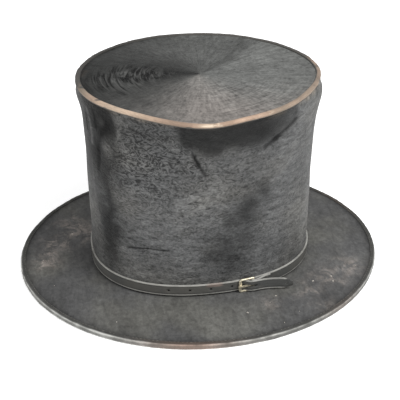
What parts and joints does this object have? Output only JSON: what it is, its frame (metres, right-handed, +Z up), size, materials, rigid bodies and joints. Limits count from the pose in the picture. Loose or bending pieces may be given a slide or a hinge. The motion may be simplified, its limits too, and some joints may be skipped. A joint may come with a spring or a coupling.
{
  "type": "top hat",
  "caption": "Bell-crowned oval top hat with a stiff shell under worn plush, wired and bound brim, buckled leather band, lining and sweatband.",
  "frame": {"origin": "centre of the brim's oval outline, on the plane that the brim rests on", "axes": "+Z up from the brim towards the tip; +Y towards the wearer's back, along the oval's long axis; +X towards the wearer's left, where the buckle is"},
  "size_m": [0.2792, 0.3164, 0.1668],
  "materials": {
    "goss": "stiff, shellacked, matt",
    "plush": "short nap, worn and dusty, with a slight sheen",
    "brim_cloth": "short worn nap",
    "under_cloth": "fine woven cloth",
    "steel_wire": "dull",
    "ribbon": "ribbed grosgrain, faded and frayed",
    "worn_edge": "worn to the ground weave",
    "lining_silk": "yellowed satin",
    "sweat_leather": "smooth, darkened",
    "thread": "waxed thread",
    "ribbon_inside": "ribbed",
    "strap_leather": "matt, dry, edges rubbed lighter",
    "thread_dark": "waxed thread",
    "buckle_brass": "dull, tarnished"
  },
  "bodies": {
    "hat": {"crown_side_shell": "goss", "tip_board": "goss", "brim_board": "goss", "brim_collar": "goss", "side_plush": "plush", "tip_plush": "plush", "brim_top_cover": "brim_cloth", "brim_under_cover": "under_cloth", "brim_edge_wire": "steel_wire", "brim_binding": "ribbon", "crown_edge_seam": "worn_edge", "side_lining": "lining_silk", "tip_lining": "lining_silk", "sweatband": "sweat_leather", "sweatband_piping": "sweat_leather", "sweatband_stitches": "thread", "sweatband_bow": "ribbon_inside", "hatband_strap": "strap_leather", "chape_stitches": "thread_dark"},
    "buckle_frame": {"buckle_frame": "buckle_brass"},
    "buckle_prong": {"buckle_prong": "buckle_brass"}
  },
  "joints": [
    {"name": "frame_hinge", "type": "hinge", "parent": "hat", "child": "buckle_frame", "pos_m": [0.07731, 0.03052, 0.0109], "axis": [0, 0, 1], "range_deg": [0, 20]},
    {"name": "prong_hinge", "type": "hinge", "parent": "buckle_frame", "child": "buckle_prong", "pos_m": [0.07731, 0.03052, 0.0109], "axis": [0, 0, 1], "range_deg": [0, 70]}
  ]
}
